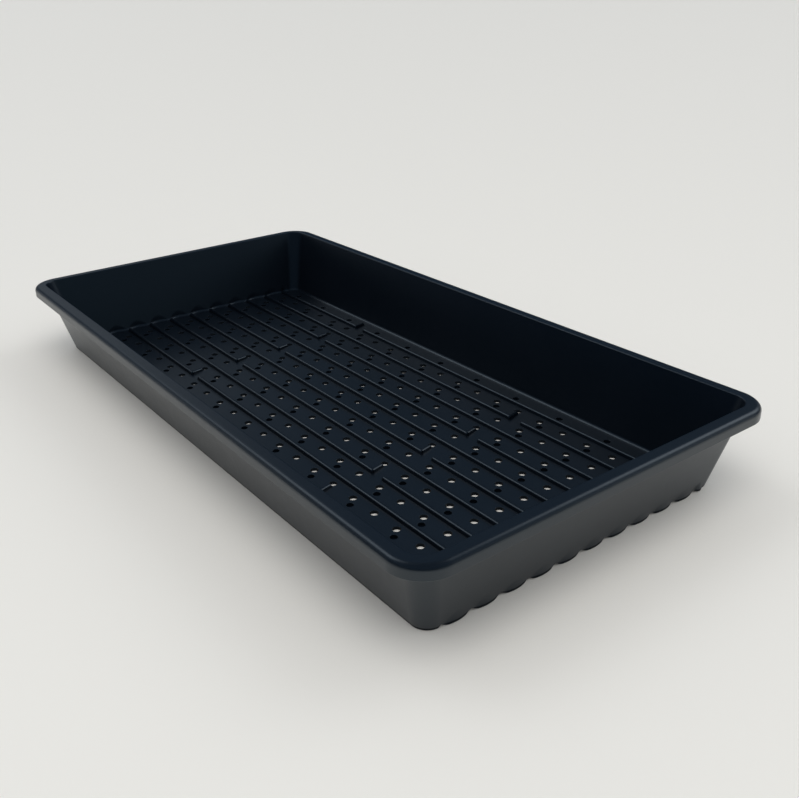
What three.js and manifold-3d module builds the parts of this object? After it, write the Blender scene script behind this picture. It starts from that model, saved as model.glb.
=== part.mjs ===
// A shallow drained growing tray: a ridged, perforated floor inside drafted walls with a turned-down rim.
// Millimetres, +Z up. The origin is on the ground under the middle of the tray, with +X along its length.
import * as THREE from "three";
import { mergeVertices } from "three/addons/utils/BufferGeometryUtils.js";
import Module from "manifold-3d";

// Outside sizes
const RIM_LENGTH = 540; // outside the rim, along X
const RIM_WIDTH = 274.5; // outside the rim, along Y
const TRAY_HEIGHT = 57.5;

// Walls
const WALL = 1.6; // measured level, at every height
const FOOT_INSET = 22; // from the rim's outer face to the foot of the wall, seen from above
const FOOT_CORNER_RADIUS = 10;
const FOOT_FILLET = 2; // inside, where the wall rises from the floor
const FOOT_BEVEL = 1; // outside, under the wall

// Rim
const RIM_CORNER_RADIUS = 22;
const LEDGE_WIDTH = 10; // flat top of the rim, from its outer face to the inside of the wall
const LEDGE_THICKNESS = 1.8;
const LEDGE_EDGE_RADIUS = 1.5; // rounded upper edge of the rim
const SKIRT_DROP = 8.5; // from the top of the rim to the lower edge of its skirt
const SKIRT_THICKNESS = 1.6;

// Floor: flat troughs between narrow raised ridges, with a shallow groove under each ridge
const FLOOR = 1.2;
const RIDGE_PITCH = 20.15;
const RIDGE_SHIFT = -2.3; // the middle ridge, from the middle of the tray
const RIDGE_HEIGHT = 2.2; // above the floor of a trough
const RIDGE_WIDTH = 2.4; // at its foot
const RIDGE_CREST = 1.4; // flat along its top
const GROOVE_WIDTH = 5;
const GROOVE_HEIGHT = 1.2;
const SEAM_RISE = 0.3; // the walls begin this far above the crests

// Scallops along the foot of each end wall, with a cusp at the front of each ridge
const SCALLOP_HEIGHT = 2.3; // at the cusps
const SCALLOP_REST = 4; // flat along the lowest part of each scallop
const SCALLOP_SETBACK = 0.6; // of the scallops' inner face, from the foot of the wall

// Drain holes, in a row in front of each ridge and counted from the middle of the tray towards +X
const HOLE_DIAMETER = 4.4;
const HOLE_PITCH = 22.15; // along X
const HOLE_FROM_RIDGE = 7.2; // from the middle of the ridge to the middle of the row
const HOLE_END_MARGIN = 7; // least distance from a hole's middle to the foot of the end wall

// Blind dimples, in a row behind each ridge
const DIMPLE_DIAMETER = 4.4;
const DIMPLE_DEPTH = 0.8;
const DIMPLE_PITCH = 44.3; // along X
const DIMPLE_SHIFT = -5.5; // the row's middle dimple, from the middle of the tray
const DIMPLE_FROM_RIDGE = 6.8;

// Water gaps in the ridges, each with a short leg turned off the ridge towards a drain hole
const GAP_LENGTH = 11.1;
const GAP_HOLES = 5; // hole pitches from the middle of the tray to the middle of a gap
const LEG_WIDTH = 2;
const LEG_LENGTH = 9.7; // back from the middle of the ridge
const LEG_SLANT = 2.8; // sideways at its end

// Facets
const CORNER_STEPS = 6;
const FILLET_STEPS = 3;
const SCALLOP_STEPS = 3;
const HOLE_SIDES = 8;

const wasm = await Module();
wasm.setup();

// Sizes that follow from the ones above
const crestLevel = FLOOR + RIDGE_HEIGHT;
const seamLevel = crestLevel + SEAM_RISE;
const filletLevel = FLOOR + FOOT_FILLET;
const ledgeLevel = TRAY_HEIGHT - LEDGE_THICKNESS;
const skirtLevel = TRAY_HEIGHT - SKIRT_DROP;
const wallTopInset = LEDGE_WIDTH - WALL;
const wallTopRadius = RIM_CORNER_RADIUS - wallTopInset;
const footHalfLength = RIM_LENGTH / 2 - FOOT_INSET;
const footHalfWidth = RIM_WIDTH / 2 - FOOT_INSET;
const straightHalfLength = footHalfLength - FOOT_CORNER_RADIUS;
const straightHalfWidth = footHalfWidth - FOOT_CORNER_RADIUS;
const landHalfWidth = footHalfWidth - WALL - FOOT_FILLET;
const beyond = RIM_LENGTH + RIM_WIDTH; // longer than any piece, for cutting

// Booleans on closed three.js geometries
function solidOf(geometry) {
  const bare = geometry.clone();
  bare.deleteAttribute("normal");
  bare.deleteAttribute("uv");
  const merged = mergeVertices(bare);
  return new wasm.Manifold(
    new wasm.Mesh({
      numProp: 3,
      vertProperties: new Float32Array(merged.attributes.position.array),
      triVerts: new Uint32Array(merged.index.array),
    }),
  );
}

function geometryOf(solid) {
  const mesh = solid.getMesh();
  const geometry = new THREE.BufferGeometry();
  geometry.setAttribute("position", new THREE.BufferAttribute(mesh.vertProperties, 3));
  geometry.setIndex(new THREE.BufferAttribute(mesh.triVerts, 1));
  geometry.computeVertexNormals();
  return geometry;
}

function boxBetween(low, high) {
  const size = new THREE.Vector3(...high).sub(new THREE.Vector3(...low));
  const middle = new THREE.Vector3(...low).addScaledVector(size, 0.5);
  return solidOf(new THREE.BoxGeometry(size.x, size.y, size.z).translate(middle.x, middle.y, middle.z));
}

const joined = (solids) => solids.reduce((sum, solid) => sum.add(solid));
const cutBy = (solid, cutters) => cutters.reduce((rest, cutter) => rest.subtract(cutter), solid);

// A section drawn across the tray, with Y as its first axis and Z as its second, swept along X.
function sweptAlongX(section, from, to, steps) {
  const geometry = new THREE.ExtrudeGeometry(section, {
    depth: to - from,
    bevelEnabled: false,
    curveSegments: steps,
  });
  const across = new THREE.Vector3(0, 1, 0);
  const up = new THREE.Vector3(0, 0, 1);
  const along = new THREE.Vector3(1, 0, 0);
  geometry.applyMatrix4(new THREE.Matrix4().makeBasis(across, up, along));
  return solidOf(geometry.translate(from, 0, 0));
}

// One level of a loft: a rounded rectangle set in from the rim's outer face.
function outline({ inset, radius, z }) {
  const r = Math.max(radius, WALL / 2);
  const x = RIM_LENGTH / 2 - inset - r;
  const y = RIM_WIDTH / 2 - inset - r;
  const quarter = Math.PI / 2;
  const path = new THREE.Path();
  path.absarc(x, y, r, 0, quarter);
  path.absarc(-x, y, r, quarter, 2 * quarter);
  path.absarc(-x, -y, r, 2 * quarter, 3 * quarter);
  path.absarc(x, -y, r, 3 * quarter, 4 * quarter);
  return path.getPoints(CORNER_STEPS / 2).map((p) => new THREE.Vector3(p.x, p.y, z));
}

// A loft through outlines. A closed one returns to its first outline, and an open one is capped at both ends.
function loft(levels, closed) {
  const rings = levels.map(outline);
  const count = rings[0].length;
  const corners = rings.flat();
  const faces = [];
  const spans = closed ? rings.length : rings.length - 1;
  for (let s = 0; s < spans; s++) {
    const low = s * count;
    const high = ((s + 1) % rings.length) * count;
    for (let i = 0; i < count; i++) {
      const next = (i + 1) % count;
      faces.push(low + i, low + next, high + next);
      faces.push(low + i, high + next, high + i);
    }
  }
  if (!closed) {
    const top = (rings.length - 1) * count;
    for (let i = 1; i < count - 1; i++) {
      faces.push(0, i + 1, i);
      faces.push(top, top + i, top + i + 1);
    }
  }
  const geometry = new THREE.BufferGeometry().setFromPoints(corners);
  geometry.setIndex(faces);
  return solidOf(geometry);
}

// The wall's outer face at a height: it leans out from the foot to the rim.
function outerFace(z) {
  const rise = z / ledgeLevel;
  return {
    inset: THREE.MathUtils.lerp(FOOT_INSET, wallTopInset, rise),
    radius: THREE.MathUtils.lerp(FOOT_CORNER_RADIUS, wallTopRadius, rise),
    z,
  };
}

// The wall's inner face at a height, moved further in where the foot's fillet thickens it.
function innerFace(z) {
  const outer = outerFace(z);
  const below = Math.max(0, filletLevel - z);
  const fillet = FOOT_FILLET - Math.sqrt(Math.max(0, FOOT_FILLET ** 2 - below ** 2));
  return { inset: outer.inset + WALL + fillet, radius: outer.radius - WALL, z };
}

// Levels up the foot's fillet, from one height to its top, or that height alone where it is above the fillet.
function filletLevels(from) {
  const levels = [innerFace(from)];
  for (let i = 1; i <= FILLET_STEPS && from < filletLevel; i++) {
    levels.push(innerFace(THREE.MathUtils.lerp(from, filletLevel, i / FILLET_STEPS)));
  }
  return levels;
}

// Walls and rim as one closed band, from the seam above the floor to the top.
function wallBand() {
  const rim = (inset, z) => ({ inset, radius: RIM_CORNER_RADIUS - inset, z });
  const roundedEdge = [];
  for (let i = 0; i <= FILLET_STEPS; i++) {
    const turn = ((Math.PI / 2) * i) / FILLET_STEPS;
    const inward = LEDGE_EDGE_RADIUS * (1 - Math.cos(turn));
    const below = LEDGE_EDGE_RADIUS * (1 - Math.sin(turn));
    roundedEdge.push(rim(inward, TRAY_HEIGHT - below));
  }
  const levels = [
    outerFace(seamLevel),
    outerFace(ledgeLevel),
    rim(SKIRT_THICKNESS, ledgeLevel),
    rim(SKIRT_THICKNESS, skirtLevel),
    rim(0, skirtLevel),
    ...roundedEdge,
    innerFace(TRAY_HEIGHT),
    ...filletLevels(seamLevel).reverse(),
  ];
  return loft(levels, true);
}

// Ridges, numbered from the middle of the tray
function ridgeNumbers() {
  const most = Math.floor((landHalfWidth - RIDGE_WIDTH) / RIDGE_PITCH);
  return Array.from({ length: 2 * most + 1 }, (_, i) => i - most);
}

const ridgeAt = (number) => number * RIDGE_PITCH + RIDGE_SHIFT;
const holeAt = (number) => (number + 0.5) * HOLE_PITCH;

// Each ridge has one gap: even ridges towards +X, odd ridges towards -X.
function gapOf(ridge) {
  const middle = GAP_HOLES * HOLE_PITCH * (ridge % 2 === 0 ? 1 : -1);
  return { from: middle - GAP_LENGTH / 2, to: middle + GAP_LENGTH / 2 };
}

// The upper face of the floor, drawn across the tray and closed far above it.
function floorTop() {
  const section = new THREE.Shape();
  section.moveTo(-RIM_WIDTH, FLOOR);
  for (const ridge of ridgeNumbers()) {
    const y = ridgeAt(ridge);
    section.lineTo(y - RIDGE_WIDTH / 2, FLOOR);
    section.lineTo(y - RIDGE_CREST / 2, crestLevel);
    section.lineTo(y + RIDGE_CREST / 2, crestLevel);
    section.lineTo(y + RIDGE_WIDTH / 2, FLOOR);
  }
  section.lineTo(RIM_WIDTH, FLOOR);
  section.lineTo(RIM_WIDTH, TRAY_HEIGHT);
  section.lineTo(-RIM_WIDTH, TRAY_HEIGHT);
  section.closePath();
  return section;
}

// The leg beside a gap, drawn from above and raised to the level of the crests.
function leg(x, y) {
  const plan = new THREE.Shape();
  plan.moveTo(x - LEG_WIDTH, y);
  plan.lineTo(x, y);
  plan.lineTo(x - LEG_SLANT, y + LEG_LENGTH);
  plan.lineTo(x - LEG_SLANT - LEG_WIDTH, y + LEG_LENGTH);
  plan.closePath();
  return solidOf(new THREE.ExtrudeGeometry(plan, { depth: crestLevel, bevelEnabled: false }));
}

// The groove under one ridge.
function grooveSection(y) {
  const half = GROOVE_WIDTH / 2;
  const section = new THREE.Shape();
  section.moveTo(y - half, -FLOOR);
  section.lineTo(y + half, -FLOOR);
  section.lineTo(y + half, 0);
  section.lineTo(y, GROOVE_HEIGHT);
  section.lineTo(y - half, 0);
  section.closePath();
  return section;
}

// The space between two scallops under an end wall, rounded on both sides of its cusp.
function cuspSection(y) {
  const half = (RIDGE_PITCH - SCALLOP_REST) / 2;
  const section = new THREE.Shape();
  section.moveTo(y - half, -FLOOR);
  section.lineTo(y + half, -FLOOR);
  section.lineTo(y + half, 0);
  section.quadraticCurveTo(y + half / 2, 0, y, SCALLOP_HEIGHT);
  section.quadraticCurveTo(y - half / 2, 0, y - half, 0);
  section.closePath();
  return section;
}

// Everything inside the tray below the seam: the troughs, the gaps in the ridges and not the legs.
function insideCutter() {
  const troughs = sweptAlongX(floorTop(), -beyond, beyond, 1);
  const gaps = [];
  const legs = [];
  for (const ridge of ridgeNumbers()) {
    const y = ridgeAt(ridge);
    const { from, to } = gapOf(ridge);
    gaps.push(boxBetween([from, y - RIDGE_WIDTH / 2, FLOOR], [to, y + RIDGE_WIDTH / 2, TRAY_HEIGHT]));
    legs.push(leg(from, y));
  }
  const cavity = loft([...filletLevels(FLOOR), innerFace(TRAY_HEIGHT)], false);
  return cutBy(joined([troughs, ...gaps]), legs).intersect(cavity);
}

// The grooves stop on both sides of each gap and open between the scallops at the ends.
function undersideCutters() {
  const cutters = [];
  const end = footHalfLength - SCALLOP_SETBACK;
  for (const ridge of ridgeNumbers()) {
    const y = ridgeAt(ridge);
    const cusp = cuspSection(y - RIDGE_WIDTH / 2);
    const { from, to } = gapOf(ridge);
    cutters.push(sweptAlongX(grooveSection(y), -beyond, from - FLOOR, 1));
    cutters.push(sweptAlongX(grooveSection(y), to + FLOOR, beyond, 1));
    cutters.push(sweptAlongX(cusp, end, beyond, SCALLOP_STEPS));
    cutters.push(sweptAlongX(cusp, -beyond, -end, SCALLOP_STEPS));
  }
  return cutters;
}

// Copies of one upright drill beside the ridges, wherever they clear the foot of the long walls.
function drilled(drill, diameter, fromRidge, places) {
  const copies = [];
  for (const ridge of ridgeNumbers()) {
    const y = ridgeAt(ridge) + fromRidge;
    if (Math.abs(y) + diameter / 2 > landHalfWidth) {
      continue;
    }
    for (const x of places) {
      copies.push(solidOf(drill.clone().translate(x, y, 0)));
    }
  }
  return joined(copies);
}

function drainHoles() {
  const radius = HOLE_DIAMETER / 2;
  const drill = new THREE.CylinderGeometry(radius, radius, TRAY_HEIGHT, HOLE_SIDES).rotateX(Math.PI / 2);
  const most = Math.floor((footHalfLength - HOLE_END_MARGIN) / HOLE_PITCH - 0.5);
  const places = Array.from({ length: 2 * most + 2 }, (_, i) => holeAt(i - most - 1));
  return drilled(drill, HOLE_DIAMETER, -HOLE_FROM_RIDGE, places);
}

// Each dimple is a shallow cone, cut by one that stands as far above the floor as it reaches below.
function dimples() {
  const drill = new THREE.ConeGeometry(DIMPLE_DIAMETER, 2 * DIMPLE_DEPTH, HOLE_SIDES).rotateX(-Math.PI / 2);
  const reach = footHalfLength - HOLE_END_MARGIN;
  const places = [];
  const most = Math.floor((reach + Math.abs(DIMPLE_SHIFT)) / DIMPLE_PITCH);
  for (let i = -most; i <= most; i++) {
    const x = i * DIMPLE_PITCH + DIMPLE_SHIFT;
    if (Math.abs(x) <= reach) {
      places.push(x);
    }
  }
  drill.translate(0, 0, FLOOR);
  return drilled(drill, DIMPLE_DIAMETER, DIMPLE_FROM_RIDGE, places);
}

function floorPanel() {
  const base = { ...outerFace(0), inset: FOOT_INSET + FOOT_BEVEL };
  const blank = loft([base, outerFace(FOOT_BEVEL), outerFace(seamLevel)], false);
  return cutBy(blank, [insideCutter(), ...undersideCutters(), drainHoles(), dimples()]);
}

// Plain moulded plastic, one material for each piece of the tray
function piece(name, solid) {
  const plastic = new THREE.MeshStandardMaterial({ color: 0x1d2329, roughness: 0.5, metalness: 0 });
  const mesh = new THREE.Mesh(geometryOf(solid), plastic);
  mesh.name = name;
  return mesh;
}

const tray = new THREE.Group();
tray.add(piece("floor_panel", floorPanel()));

// The four straight sides: each has a wall, the ledge on top of it and the skirt that hangs from the ledge.
const band = wallBand();
const channelMiddle = (SKIRT_THICKNESS + wallTopInset) / 2;
const sides = [
  { name: "front", along: "x", sign: -1 },
  { name: "back", along: "x", sign: 1 },
  { name: "left", along: "y", sign: -1 },
  { name: "right", along: "y", sign: 1 },
];

// A box over one side, from one distance out from the tray's middle to another.
function sideBox({ along, sign }, inner, outer, low, high) {
  const near = Math.min(sign * inner, sign * outer);
  const far = Math.max(sign * inner, sign * outer);
  if (along === "x") {
    return boxBetween([-straightHalfLength, near, low], [straightHalfLength, far, high]);
  }
  return boxBetween([near, -straightHalfWidth, low], [far, straightHalfWidth, high]);
}

for (const side of sides) {
  const half = side.along === "x" ? RIM_WIDTH / 2 : RIM_LENGTH / 2;
  const split = half - channelMiddle;
  const above = sideBox(side, 0, beyond, ledgeLevel, beyond);
  const inside = sideBox(side, 0, split, 0, ledgeLevel);
  const outside = sideBox(side, split, beyond, 0, ledgeLevel);
  tray.add(piece(`wall_${side.name}`, band.intersect(inside)));
  tray.add(piece(`rim_ledge_${side.name}`, band.intersect(above)));
  tray.add(piece(`rim_skirt_${side.name}`, band.intersect(outside)));
}

// The four rounded corners, each with its stretch of wall and rim
for (const [across, signX] of [["left", -1], ["right", 1]]) {
  for (const [depth, signY] of [["front", -1], ["back", 1]]) {
    const x = [signX * straightHalfLength, signX * beyond].sort((a, b) => a - b);
    const y = [signY * straightHalfWidth, signY * beyond].sort((a, b) => a - b);
    const corner = boxBetween([x[0], y[0], 0], [x[1], y[1], beyond]);
    tray.add(piece(`corner_${depth}_${across}`, band.intersect(corner)));
  }
}

export default tray;
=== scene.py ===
# A charcoal growing tray, moulded in one piece, with a ridged, perforated floor and a turned-down rim.
# Shapes are drawn in millimetres in the tray's own frame, and the finished mesh is scaled to metres.
import math

import bmesh
import bpy
from mathutils import Matrix, Vector


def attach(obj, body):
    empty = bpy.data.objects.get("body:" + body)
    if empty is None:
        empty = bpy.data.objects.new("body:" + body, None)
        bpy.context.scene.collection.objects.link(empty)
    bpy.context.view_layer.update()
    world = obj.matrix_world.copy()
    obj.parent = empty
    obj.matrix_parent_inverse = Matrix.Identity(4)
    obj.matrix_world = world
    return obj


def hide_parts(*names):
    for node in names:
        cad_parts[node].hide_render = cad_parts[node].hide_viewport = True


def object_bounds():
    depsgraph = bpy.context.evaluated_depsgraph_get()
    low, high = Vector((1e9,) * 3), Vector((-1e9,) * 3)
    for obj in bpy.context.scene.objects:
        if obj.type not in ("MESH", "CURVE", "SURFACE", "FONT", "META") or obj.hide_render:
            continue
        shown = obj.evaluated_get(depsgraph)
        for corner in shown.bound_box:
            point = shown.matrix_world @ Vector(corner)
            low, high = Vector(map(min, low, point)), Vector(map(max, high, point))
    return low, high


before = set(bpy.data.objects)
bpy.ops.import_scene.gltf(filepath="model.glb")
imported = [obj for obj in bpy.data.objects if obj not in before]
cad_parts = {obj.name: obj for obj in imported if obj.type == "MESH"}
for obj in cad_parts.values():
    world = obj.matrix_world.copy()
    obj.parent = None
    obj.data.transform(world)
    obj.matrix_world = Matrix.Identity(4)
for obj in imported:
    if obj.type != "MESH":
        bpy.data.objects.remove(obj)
cad_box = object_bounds()

# Outside sizes, from the solids
MM = 0.001
HALF_LENGTH = cad_box[1].x / MM
HALF_WIDTH = cad_box[1].y / MM
HEIGHT = cad_box[1].z / MM

# Walls
WALL = 1.6
FOOT_INSET = 22  # the foot of the walls, from the rim's outer edge
FOOT_CORNER_RADIUS = 10
FOOT_FILLET = 2  # inside, between the floor and the walls
FOOT_ROUND = 1  # outside, under the walls

# Rim
RIM_CORNER_RADIUS = 22
LEDGE_WIDTH = 10
LEDGE_THICKNESS = 1.8
LEDGE_EDGE_RADIUS = 3.6
LEDGE_CROWN = 0.2  # fall of the ledge towards its outer edge
LEDGE_INNER_RADIUS = 0.7
SKIRT_DROP = 8.5  # the skirt's lower edge, from the top of the rim
SKIRT_THICKNESS = 1.6
SKIRT_ROUND = 0.5
CHANNEL_FILLET = 0.8  # under the ledge, between the skirt and the wall

# Floor: flat troughs between narrow raised ridges
FLOOR = 2.2
RIDGES = range(-5, 6)
RIDGE_PITCH = 20.15
RIDGE_SHIFT = -3.15  # the middle ridge, from the middle of the tray
RIDGE_HEIGHT = 2.7
RIDGE_FOOT = 1.7  # half a ridge's width where it meets the troughs
RIDGE_ROUND = 1.0  # rounding at the ends of the ridges and legs
RIDGE_END = 244.5
RIDGE_SINK = 0.3  # how far the ridges reach down into the floor
CROWN_RADIUS = 1.6
CROWN_ANGLE = 60  # degrees of round crown on each side of a ridge's top
GROOVE_WIDTH = 5.0
GROOVE_HEIGHT = 1.2

# Ends of the troughs, which swell outwards at the foot of the end walls
SWELL = 1.8
SWELL_ROUND = 1.0  # outside, under a swelling
POCKET_FILLET = 2.4  # inside, between the floor and a swelling
POCKET_REACH = 5.0  # how far the cut for a swelling's inside reaches over the floor
SHAVE = 0.02  # keeps the faces of two solids from lying in one plane

# Scallops under the end walls, with upright cusps between them
SCALLOP_HEIGHT = 2.6
SCALLOP_REST = 3.0  # width on which a scallop rests
SCALLOP_DEPTH = 8.0  # how far a cusp runs in under the floor
SCALLOP_FADE = 0.4  # share of a cusp's height that is left there
SCALLOP_LAST = 2.0  # half a cusp's width on the side of a corner
CUSP_FROM_RIDGE = 1.3

# Drain holes, dimples and water gaps
HOLE_DIAMETER = 5.4
HOLE_PITCH = 22.1
HOLE_SHIFT = 1.5  # the middle of a row, from the middle of the tray
HOLES_EACH_WAY = 11
HOLE_FROM_RIDGE = 7.2
HOLE_LIP = 0.15
DIMPLE_DIAMETER = 4.8
DIMPLE_DEPTH = 1.9
DIMPLE_TAPER = 0.2  # how much the radius shrinks down to the bottom
DIMPLE_PITCH = 44.2
DIMPLE_SHIFT = -4.0  # the middle dimple of a row, from the middle of the tray
DIMPLES_EACH_WAY = 5
DIMPLE_FROM_RIDGE = 6.8
DIMPLE_LIP = 0.2
GAP_LENGTH = 11.1
GAP_HOLES = 5  # hole pitches from the middle of a row to a gap
LEG_INSET = 1.0  # a leg's middle line, from the end of its ridge
LEG_LENGTH = 9.7  # across the tray
LEG_SLANT = 2.8  # back along the ridge
LEG_FALL = 0.5  # how much lower a leg ends than it starts
CLEAR = 1.0  # how far cutters reach past what they cut

# Facets
CORNER_STEPS = 24
ROUND_STEPS = 5
FILLET_STEPS = 8
SWELL_STEPS = 16
CIRCLE_STEPS = 28
SMOOTH_ANGLE = math.radians(33)

# Levels and places that follow from these sizes
LEDGE_LEVEL = HEIGHT - LEDGE_THICKNESS
SKIRT_LEVEL = HEIGHT - SKIRT_DROP
WALL_TOP_INSET = LEDGE_WIDTH - WALL
WALL_LEAN = (FOOT_INSET - WALL_TOP_INSET) / LEDGE_LEVEL
FOOT_END = HALF_LENGTH - FOOT_INSET
STRAIGHT_END = HALF_WIDTH - FOOT_INSET - FOOT_CORNER_RADIUS


def lerp(a, b, t):
    return a + (b - a) * t


def arc(center, radius, start, stop, steps):
    """Points on an arc in a plane, with angles in degrees."""
    points = []
    for i in range(steps + 1):
        angle = math.radians(lerp(start, stop, i / steps))
        points.append((center[0] + radius * math.cos(angle), center[1] + radius * math.sin(angle)))
    return points


def add_object(name, data):
    """Puts a mesh, a light or a camera into the scene."""
    obj = bpy.data.objects.new(name, data)
    bpy.context.scene.collection.objects.link(obj)
    return obj


def mesh_from(name, points, faces):
    mesh = bpy.data.meshes.new(name)
    mesh.from_pydata(points, [], faces)
    shape = bmesh.new()
    shape.from_mesh(mesh)
    bmesh.ops.recalc_face_normals(shape, faces=shape.faces)
    shape.to_mesh(mesh)
    shape.free()
    return mesh


def stack(rings, points, faces):
    """Adds a closed solid through rings that all have the same number of points."""
    count = len(rings[0])
    first = len(points)
    for ring in rings:
        points.extend(ring)
    for level in range(len(rings) - 1):
        low = first + level * count
        for i in range(count):
            j = (i + 1) % count
            faces.append((low + i, low + j, low + count + j, low + count + i))
    faces.append(tuple(first + i for i in reversed(range(count))))
    last = first + (len(rings) - 1) * count
    faces.append(tuple(last + i for i in range(count)))


def solid(name, stacks):
    """An object that holds one closed solid for each stack of rings."""
    points = []
    faces = []
    for rings in stacks:
        stack(rings, points, faces)
    return add_object(name, mesh_from(name, points, faces))


# The blank: rounded rectangles that go up the outside, over the rim and down the inside to a plain floor


def rounded_rectangle(inset, radius, z):
    x = HALF_LENGTH - inset - radius
    y = HALF_WIDTH - inset - radius
    points = []
    for center, start in (((x, y), 0), ((-x, y), 90), ((-x, -y), 180), ((x, -y), 270)):
        points.extend((px, py, z) for px, py in arc(center, radius, start, start + 90, CORNER_STEPS))
    return points


def outer_inset(z):
    return lerp(FOOT_INSET, WALL_TOP_INSET, z / LEDGE_LEVEL)


def outer_radius(z):
    return lerp(FOOT_CORNER_RADIUS, RIM_CORNER_RADIUS - WALL_TOP_INSET, z / LEDGE_LEVEL)


def outer_ring(z, extra=0.0):
    return rounded_rectangle(outer_inset(z) + extra, outer_radius(z) - extra, z)


def inner_ring(z, extra=0.0):
    return outer_ring(z, WALL + extra)


def rim_ring(inset, z):
    return rounded_rectangle(inset, RIM_CORNER_RADIUS - inset, z)


def blank_rings():
    rings = []
    for dx, dz in arc((FOOT_ROUND, FOOT_ROUND), FOOT_ROUND, 270, 180, ROUND_STEPS):
        rings.append(outer_ring(dz, dx))
    for out, up in arc((CHANNEL_FILLET, -CHANNEL_FILLET), CHANNEL_FILLET, 180, 90, ROUND_STEPS):
        rings.append(outer_ring(LEDGE_LEVEL + up, -out))
    for back, up in arc((CHANNEL_FILLET, -CHANNEL_FILLET), CHANNEL_FILLET, 90, 180, ROUND_STEPS):
        rings.append(rim_ring(SKIRT_THICKNESS + back, LEDGE_LEVEL + up))
    for dx, dz in arc((SKIRT_THICKNESS - SKIRT_ROUND, SKIRT_ROUND), SKIRT_ROUND, 0, -90, ROUND_STEPS):
        rings.append(rim_ring(dx, SKIRT_LEVEL + dz))
    for dx, dz in arc((SKIRT_ROUND, SKIRT_ROUND), SKIRT_ROUND, 270, 180, ROUND_STEPS):
        rings.append(rim_ring(dx, SKIRT_LEVEL + dz))
    edge = LEDGE_EDGE_RADIUS
    for dx, dz in arc((edge, -edge), edge, 180, 90, FILLET_STEPS):
        rings.append(rim_ring(dx, HEIGHT - LEDGE_CROWN + dz))
    edge = LEDGE_INNER_RADIUS
    for dx, dz in arc((-edge, -edge), edge, 90, 0, ROUND_STEPS):
        rings.append(inner_ring(HEIGHT + dz, dx))
    for dx, dz in arc((FOOT_FILLET, FOOT_FILLET), FOOT_FILLET, 180, 270, FILLET_STEPS):
        rings.append(inner_ring(FLOOR + dz, dx))
    return rings


# Ridges: one section drawn across the tray and swept along it, in two lengths with a gap between them


def ridge_at(number):
    return number * RIDGE_PITCH + RIDGE_SHIFT


def hole_at(number):
    """Where a hole lies along its row, half a pitch off the middle and whole pitches from there."""
    return (number + 0.5) * HOLE_PITCH + HOLE_SHIFT


def gap_of(number):
    """Where a ridge's water gap starts and stops, on alternate sides of the middle."""
    middle = GAP_HOLES * HOLE_PITCH * (1 if number % 2 == 0 else -1) + HOLE_SHIFT
    return middle - GAP_LENGTH / 2, middle + GAP_LENGTH / 2


def ridge_section(drop):
    """Pairs of distance across a ridge and height above the troughs, for a ridge lowered by a drop."""
    middle = (0, RIDGE_HEIGHT - drop - CROWN_RADIUS)
    near = [(-RIDGE_FOOT, -RIDGE_SINK), (-RIDGE_FOOT, 0)]
    crown = arc(middle, CROWN_RADIUS, 90 + CROWN_ANGLE, 90 - CROWN_ANGLE, 2 * FILLET_STEPS)
    far = [(RIDGE_FOOT, 0), (RIDGE_FOOT, -RIDGE_SINK)]
    return near + crown + far


def ridge_ring(x, y, drop):
    return [(x, y + across, FLOOR + rise) for across, rise in ridge_section(drop)]


def ridge_stacks():
    ends = arc((0, 0), RIDGE_ROUND, 0, 90, ROUND_STEPS)
    stacks = []
    for number in RIDGES:
        y = ridge_at(number)
        start, stop = gap_of(number)
        for low, high in ((-RIDGE_END, start), (stop, RIDGE_END)):
            rings = []
            for along, up in ends:
                rings.append(ridge_ring(low + RIDGE_ROUND - along, y, RIDGE_ROUND - up))
            for along, up in reversed(ends):
                rings.append(ridge_ring(high - RIDGE_ROUND + along, y, RIDGE_ROUND - up))
            stacks.append(rings)
    return stacks


def leg_stacks():
    """Short legs that turn off the ridges beside the gaps and run back towards a drain hole."""
    length = math.hypot(LEG_LENGTH, LEG_SLANT)
    ahead = (-LEG_SLANT / length, LEG_LENGTH / length)
    stations = [(0, 0), (length - RIDGE_ROUND, LEG_FALL)]
    for along, up in arc((0, 0), RIDGE_ROUND, 90, 0, ROUND_STEPS)[1:]:
        stations.append((length - RIDGE_ROUND + along, LEG_FALL + RIDGE_ROUND - up))
    stacks = []
    for number in RIDGES:
        x = gap_of(number)[0] - LEG_INSET
        y = ridge_at(number)
        rings = []
        for along, drop in stations:
            middle = (x + ahead[0] * along, y + ahead[1] * along)
            rings.append([
                (middle[0] - ahead[1] * across, middle[1] + ahead[0] * across, FLOOR + rise)
                for across, rise in ridge_section(drop)
            ])
        stacks.append(rings)
    return stacks


# Ends of the troughs: swellings added to the end walls' foot, and pockets that hollow them out


def cusp_at(number):
    return ridge_at(number) - CUSP_FROM_RIDGE


def trough_ends(section):
    """Solids between neighbouring cusps at both end walls, from sections that take the swelling there."""
    stacks = []
    for number in RIDGES:
        low = cusp_at(number)
        high = min(cusp_at(number + 1), STRAIGHT_END)
        for side in (-1, 1):
            rings = []
            for i in range(SWELL_STEPS + 1):
                t = i / SWELL_STEPS
                points = section(SWELL * math.sin(math.pi * t))
                rings.append([(side * x, lerp(low, high, t), z) for x, z in points])
            stacks.append(rings)
    return stacks


def swell_section(swell):
    """A swelling's outside, from under the wall's foot up to where it meets the leaning wall."""
    out = FOOT_END + swell - SHAVE
    top = max(swell / WALL_LEAN, SWELL_ROUND + SHAVE)
    points = [(FOOT_END - 2 * WALL, 0)]
    points += arc((out - SWELL_ROUND, SWELL_ROUND), SWELL_ROUND, 270, 360, ROUND_STEPS)
    points += [(out, top), (FOOT_END + WALL_LEAN * top - WALL / 2, top)]
    return points


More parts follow.
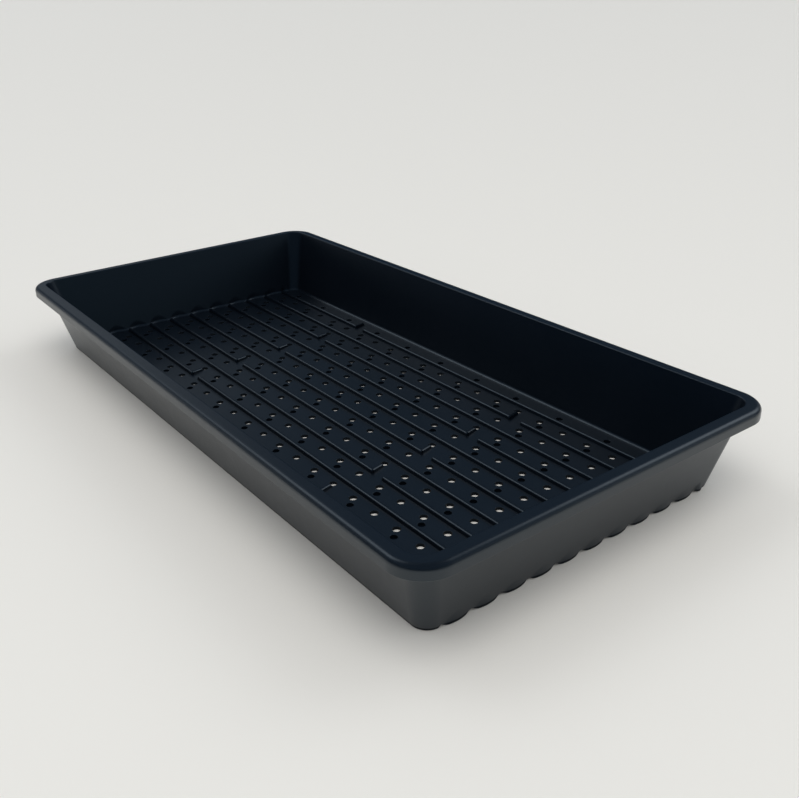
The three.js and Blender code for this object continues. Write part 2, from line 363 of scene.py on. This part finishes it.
def pocket_section(swell):
    """A swelling's inside, from the floor up to where it meets the leaning wall."""
    inside = HALF_LENGTH - outer_inset(FLOOR) - WALL
    out = inside + swell
    bottom = FLOOR + SHAVE
    top = FLOOR + max(swell / WALL_LEAN, POCKET_FILLET + SHAVE)
    points = [(inside - POCKET_REACH, bottom)]
    points += arc((out - POCKET_FILLET, bottom + POCKET_FILLET), POCKET_FILLET, 270, 360, ROUND_STEPS)
    points += [(out, top + SHAVE), (inside - POCKET_REACH, top + SHAVE)]
    return points


# Cutters for the holes, dimples, grooves and cusps


def turned(profile, place):
    """A round solid from (radius, height) pairs listed upwards."""
    rings = []
    for radius, height in profile:
        circle = arc((0, 0), radius, 0, 360, CIRCLE_STEPS)[:-1]
        rings.append([(place.x + px, place.y + py, place.z + height) for px, py in circle])
    return rings


def rows(from_ridge, diameter):
    """Where rows of round cuts lie across the tray, beside the ridges and clear of the walls."""
    reach = HALF_WIDTH - FOOT_INSET - WALL - FOOT_FILLET - diameter / 2
    places = [ridge_at(number) + from_ridge for number in RIDGES]
    return [y for y in places if abs(y) <= reach]


def hole_stacks():
    radius = HOLE_DIAMETER / 2
    profile = [(radius, -CLEAR)]
    profile += arc((radius + HOLE_LIP, FLOOR - HOLE_LIP), HOLE_LIP, 180, 90, ROUND_STEPS)
    profile.append((radius + HOLE_LIP, FLOOR + CLEAR))
    stacks = []
    for y in rows(-HOLE_FROM_RIDGE, HOLE_DIAMETER):
        for number in range(-HOLES_EACH_WAY, HOLES_EACH_WAY):
            stacks.append(turned(profile, Vector((hole_at(number), y, 0))))
    return stacks


def dimple_stacks():
    radius = DIMPLE_DIAMETER / 2
    profile = [(radius - DIMPLE_TAPER, -DIMPLE_DEPTH)]
    profile += arc((radius + DIMPLE_LIP, -DIMPLE_LIP), DIMPLE_LIP, 180, 90, ROUND_STEPS)
    profile.append((radius + DIMPLE_LIP, CLEAR))
    stacks = []
    for y in rows(DIMPLE_FROM_RIDGE, DIMPLE_DIAMETER):
        for number in range(-DIMPLES_EACH_WAY, DIMPLES_EACH_WAY + 1):
            stacks.append(turned(profile, Vector((number * DIMPLE_PITCH + DIMPLE_SHIFT, y, FLOOR))))
    return stacks


def along_x(section, start, stop):
    return [[(x, y, z) for y, z in section] for x in (start, stop)]


def groove_stacks():
    """Grooves under the ridges, which end a floor's thickness short of the water gaps."""
    half = GROOVE_WIDTH / 2
    stacks = []
    for number in RIDGES:
        y = ridge_at(number)
        section = [(y - half, -CLEAR), (y + half, -CLEAR), (y + half, 0), (y, GROOVE_HEIGHT), (y - half, 0)]
        start, stop = gap_of(number)
        stacks.append(along_x(section, -HALF_LENGTH, start - FLOOR))
        stacks.append(along_x(section, stop + FLOOR, HALF_LENGTH))
    return stacks


def cusp_section(y, height):
    """A pointed arch between two scallops, narrower on the side of a corner."""
    half = (RIDGE_PITCH - SCALLOP_REST) / 2
    low = half if y - half > -STRAIGHT_END else SCALLOP_LAST
    high = half if y + half < STRAIGHT_END else SCALLOP_LAST
    section = [(y - low, -CLEAR), (y + high, -CLEAR)]
    for i in range(2 * FILLET_STEPS + 1):
        t = 1 - i / FILLET_STEPS
        section.append((y + (high if t > 0 else low) * t, height * (1 - abs(t)) ** 2))
    return section


def cusp_stacks():
    stations = ((FOOT_END - SCALLOP_DEPTH, SCALLOP_FADE), (FOOT_END, 1), (HALF_LENGTH, 1))
    stacks = []
    for number in RIDGES:
        y = cusp_at(number)
        for side in (-1, 1):
            rings = []
            for x, share in stations:
                rings.append([(side * x, py, pz) for py, pz in cusp_section(y, SCALLOP_HEIGHT * share)])
            stacks.append(rings)
    return stacks


def combine(target, other, operation):
    modifier = target.modifiers.new(operation, "BOOLEAN")
    modifier.operation = operation
    modifier.solver = "MANIFOLD"
    modifier.object = other
    depsgraph = bpy.context.evaluated_depsgraph_get()
    result = bpy.data.meshes.new_from_object(target.evaluated_get(depsgraph))
    target.modifiers.clear()
    old = target.data
    target.data = result
    bpy.data.meshes.remove(old)
    bpy.data.objects.remove(other)


tray = solid("tray", [blank_rings()])
combine(tray, solid("swells", trough_ends(swell_section)), "UNION")
combine(tray, solid("pockets", trough_ends(pocket_section)), "DIFFERENCE")
combine(tray, solid("ridges", ridge_stacks()), "UNION")
combine(tray, solid("legs", leg_stacks()), "UNION")
combine(tray, solid("grooves", groove_stacks()), "DIFFERENCE")
combine(tray, solid("cusps", cusp_stacks()), "DIFFERENCE")
combine(tray, solid("holes", hole_stacks()), "DIFFERENCE")
combine(tray, solid("dimples", dimple_stacks()), "DIFFERENCE")
tray.data.transform(Matrix.Scale(MM, 4))

# Shading: smooth across the roundings, with flat faces kept flat
bpy.context.view_layer.objects.active = tray
tray.select_set(True)
bpy.ops.object.shade_smooth_by_angle(angle=SMOOTH_ANGLE)
weights = tray.modifiers.new("weights", "WEIGHTED_NORMAL")
weights.keep_sharp = True

# Plastic: broad mottling in the colour, a finer one in the roughness, a moulded grain, and painted shade
# below the floor's top
MOTTLE_SCALE = 14
MOTTLE_DETAIL = 5
MOTTLE = (
    (0.3, (0.0020, 0.0036, 0.0062, 1)),
    (0.7, (0.0032, 0.0050, 0.0082, 1)),
)
FINISH_SCALE = 160
FINISH_DETAIL = 6
SMOOTHEST = 0.28
ROUGHEST = 0.35
GRAIN_SCALE = 1800
GRAIN_DETAIL = 3
GRAIN_STRENGTH = 0.12
GRAIN_HEIGHT = 0.2
PLASTIC_IOR = 1.62
SHEEN_COLOUR = (0.78, 0.90, 1.0, 1)
SHEEN = 0.5
PAINTED_SHADE_SHEEN = 0.05  # painted shade: the sheen is turned down below the floor's top, in the holes and dimples, underneath and at the walls' foot, so these read dark
PAINTED_SHADE_DEPTH = 0.4  # depth below the floor's top at which that painted shade is full

# Table
TABLE_SIZE = 40.0  # metres
TABLE_COLOUR = (0.85, 0.83, 0.785, 1)
TABLE_ROUGHNESS = 0.6


def new_material(name):
    material = bpy.data.materials.new(name)
    material.use_nodes = True
    return material, material.node_tree.nodes["Principled BSDF"]


def set_stops(ramp, stops):
    """Gives a colour ramp its positions and colours."""
    elements = ramp.color_ramp.elements
    while len(elements) < len(stops):
        elements.new(1.0)
    for element, (position, colour) in zip(elements, stops):
        element.position = position
        element.color = colour


def map_range(tree, value, start, stop, low, high):
    """A node that turns a value between start and stop into one between low and high."""
    node = tree.nodes.new("ShaderNodeMapRange")
    node.inputs["From Min"].default_value = start
    node.inputs["From Max"].default_value = stop
    node.inputs["To Min"].default_value = low
    node.inputs["To Max"].default_value = high
    tree.links.new(value, node.inputs["Value"])
    return node


def noise(tree, place, scale, detail):
    node = tree.nodes.new("ShaderNodeTexNoise")
    node.inputs["Scale"].default_value = scale
    node.inputs["Detail"].default_value = detail
    tree.links.new(place, node.inputs["Vector"])
    return node.outputs["Fac"]


def plastic():
    material, shader = new_material("charcoal_plastic")
    tree = material.node_tree
    place = tree.nodes.new("ShaderNodeTexCoord").outputs["Object"]
    colour = tree.nodes.new("ShaderNodeValToRGB")
    set_stops(colour, MOTTLE)
    tree.links.new(noise(tree, place, MOTTLE_SCALE, MOTTLE_DETAIL), colour.inputs["Fac"])
    tree.links.new(colour.outputs["Color"], shader.inputs["Base Color"])
    finish = noise(tree, place, FINISH_SCALE, FINISH_DETAIL)
    rough = map_range(tree, finish, 0, 1, SMOOTHEST, ROUGHEST)
    tree.links.new(rough.outputs["Result"], shader.inputs["Roughness"])
    bump = tree.nodes.new("ShaderNodeBump")
    bump.inputs["Strength"].default_value = GRAIN_STRENGTH
    bump.inputs["Distance"].default_value = GRAIN_HEIGHT * MM
    tree.links.new(noise(tree, place, GRAIN_SCALE, GRAIN_DETAIL), bump.inputs["Height"])
    tree.links.new(bump.outputs["Normal"], shader.inputs["Normal"])
    parts = tree.nodes.new("ShaderNodeSeparateXYZ")
    tree.links.new(place, parts.inputs["Vector"])
    # painted shade: less sheen below the floor's top darkens the holes, dimples and the walls' foot
    painted_shade = map_range(tree, parts.outputs["Z"], (FLOOR - PAINTED_SHADE_DEPTH) * MM, FLOOR * MM, PAINTED_SHADE_SHEEN, SHEEN)
    tree.links.new(painted_shade.outputs["Result"], shader.inputs["Specular IOR Level"])
    shader.inputs["IOR"].default_value = PLASTIC_IOR
    shader.inputs["Specular Tint"].default_value = SHEEN_COLOUR
    return material


def table():
    material, shader = new_material("pale_table")
    shader.inputs["Base Color"].default_value = TABLE_COLOUR
    shader.inputs["Roughness"].default_value = TABLE_ROUGHNESS
    return material


tray.data.materials.clear()
tray.data.materials.append(plastic())
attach(tray, "root")
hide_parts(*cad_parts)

# The table that the tray stands on
edge = TABLE_SIZE / 2
table_corners = [(-edge, -edge, 0), (edge, -edge, 0), (edge, edge, 0), (-edge, edge, 0)]
floor_mesh = bpy.data.meshes.new("table_top")
floor_mesh.from_pydata(table_corners, [], [(0, 1, 2, 3)])
floor = add_object("table_top", floor_mesh)
floor_mesh.materials.append(table())


# Light: two wide soft lamps for the surfaces, and a dim room with soft windows for the reflections


def direction(azimuth, elevation):
    """A unit direction, with the azimuth in degrees from +X towards +Y."""
    a = math.radians(azimuth)
    e = math.radians(elevation)
    return Vector((math.cos(a) * math.cos(e), math.sin(a) * math.cos(e), math.sin(e)))


# Each lamp's name, direction, strength and spread in degrees
LAMP_COLOUR = (1.0, 0.965, 0.915)
LAMPS = (
    ("fill", direction(0, 90), 1.56, 150),
    ("key", direction(-35, 66), 0.90, 60),
)

# What the camera sees past the table
BACKDROP = (0.80, 0.79, 0.76, 1)

# The room's colours by the height of a direction, and each window's direction, edge as a cosine, and colour
ROOM = (
    (0.30, (0.024, 0.050, 0.090, 1)),
    (0.45, (0.050, 0.070, 0.085, 1)),
    (0.62, (0.100, 0.160, 0.245, 1)),
    (0.80, (0.060, 0.090, 0.130, 1)),
)
WINDOWS = (
    (direction(196, 49), 0.94, (1.5, 1.6, 1.7, 1)),
    (direction(84, 38), 0.92, (1.5, 1.6, 1.7, 1)),
    (direction(50, 16), 0.95, (0.45, 0.50, 0.55, 1)),
    (direction(16, 12), 0.955, (0.13, 0.19, 0.23, 1)),
    (direction(168, 23), 0.955, (0.28, 0.31, 0.34, 1)),
    (direction(207, 12), 0.955, (0.35, 0.38, 0.41, 1)),
)


def soft_lamp(name, toward, strength, spread):
    """A wide sun that lights surfaces and isn't mirrored in them."""
    light = bpy.data.lights.new(name, "SUN")
    light.energy = strength
    light.color = LAMP_COLOUR
    light.angle = math.radians(spread)
    lamp = add_object(name, light)
    lamp.rotation_euler = toward.to_track_quat("Z", "Y").to_euler()
    lamp.visible_glossy = False


def room_colour(tree):
    """The room's colour in each direction, with the windows mixed in one after another."""
    place = tree.nodes.new("ShaderNodeTexCoord").outputs["Generated"]
    parts = tree.nodes.new("ShaderNodeSeparateXYZ")
    tree.links.new(place, parts.inputs["Vector"])
    levels = tree.nodes.new("ShaderNodeValToRGB")
    set_stops(levels, ROOM)
    tree.links.new(parts.outputs["Z"], levels.inputs["Fac"])
    total = levels.outputs["Color"]
    for toward, edge_cosine, colour in WINDOWS:
        dot = tree.nodes.new("ShaderNodeVectorMath")
        dot.operation = "DOT_PRODUCT"
        dot.inputs[1].default_value = toward
        tree.links.new(place, dot.inputs[0])
        fade = map_range(tree, dot.outputs["Value"], edge_cosine, 1, 0, 1)
        fade.interpolation_type = "SMOOTHSTEP"
        mix = tree.nodes.new("ShaderNodeMix")
        mix.data_type = "RGBA"
        mix.inputs["B"].default_value = colour
        tree.links.new(total, mix.inputs["A"])
        tree.links.new(fade.outputs["Result"], mix.inputs["Factor"])
        total = mix.outputs["Result"]
    return total


def studio_world():
    """A plain backdrop for the camera, and the room for everything else."""
    world = bpy.data.worlds.new("studio")
    world.use_nodes = True
    tree = world.node_tree
    backdrop = tree.nodes["Background"]
    backdrop.inputs["Color"].default_value = BACKDROP
    room = tree.nodes.new("ShaderNodeBackground")
    tree.links.new(room_colour(tree), room.inputs["Color"])
    ray = tree.nodes.new("ShaderNodeLightPath")
    choose = tree.nodes.new("ShaderNodeMixShader")
    tree.links.new(ray.outputs["Is Camera Ray"], choose.inputs["Fac"])
    tree.links.new(room.outputs["Background"], choose.inputs[1])
    tree.links.new(backdrop.outputs["Background"], choose.inputs[2])
    tree.links.new(choose.outputs["Shader"], tree.nodes["World Output"].inputs["Surface"])
    return world


for lamp in LAMPS:
    soft_lamp(*lamp)
bpy.context.scene.world = studio_world()

# Camera, fitted to the rim, the foot and the holes in the photo, with angles in radians
IMAGE_WIDTH = 799
FOCAL_PIXELS = 903.65
AZIMUTH = 0.92926
ELEVATION = 0.4433
ROLL = -0.02306
PLACE = Vector((521.85, -331.37, 294.33))
right = Vector((math.cos(AZIMUTH), math.sin(AZIMUTH), 0))
back = Vector((
    math.sin(AZIMUTH) * math.cos(ELEVATION),
    -math.cos(AZIMUTH) * math.cos(ELEVATION),
    math.sin(ELEVATION),
))
up = back.cross(right)
turned_right = right * math.cos(ROLL) + up * math.sin(ROLL)
turned_up = up * math.cos(ROLL) - right * math.sin(ROLL)
turn = Matrix((turned_right, turned_up, back)).transposed().to_4x4()
camera = add_object("camera", bpy.data.cameras.new("camera"))
camera.matrix_world = Matrix.Translation(PLACE * MM) @ turn
camera.data.sensor_fit = "HORIZONTAL"
camera.data.lens = FOCAL_PIXELS * camera.data.sensor_width / IMAGE_WIDTH
bpy.context.scene.camera = camera
bpy.context.scene.view_settings.view_transform = "Standard"
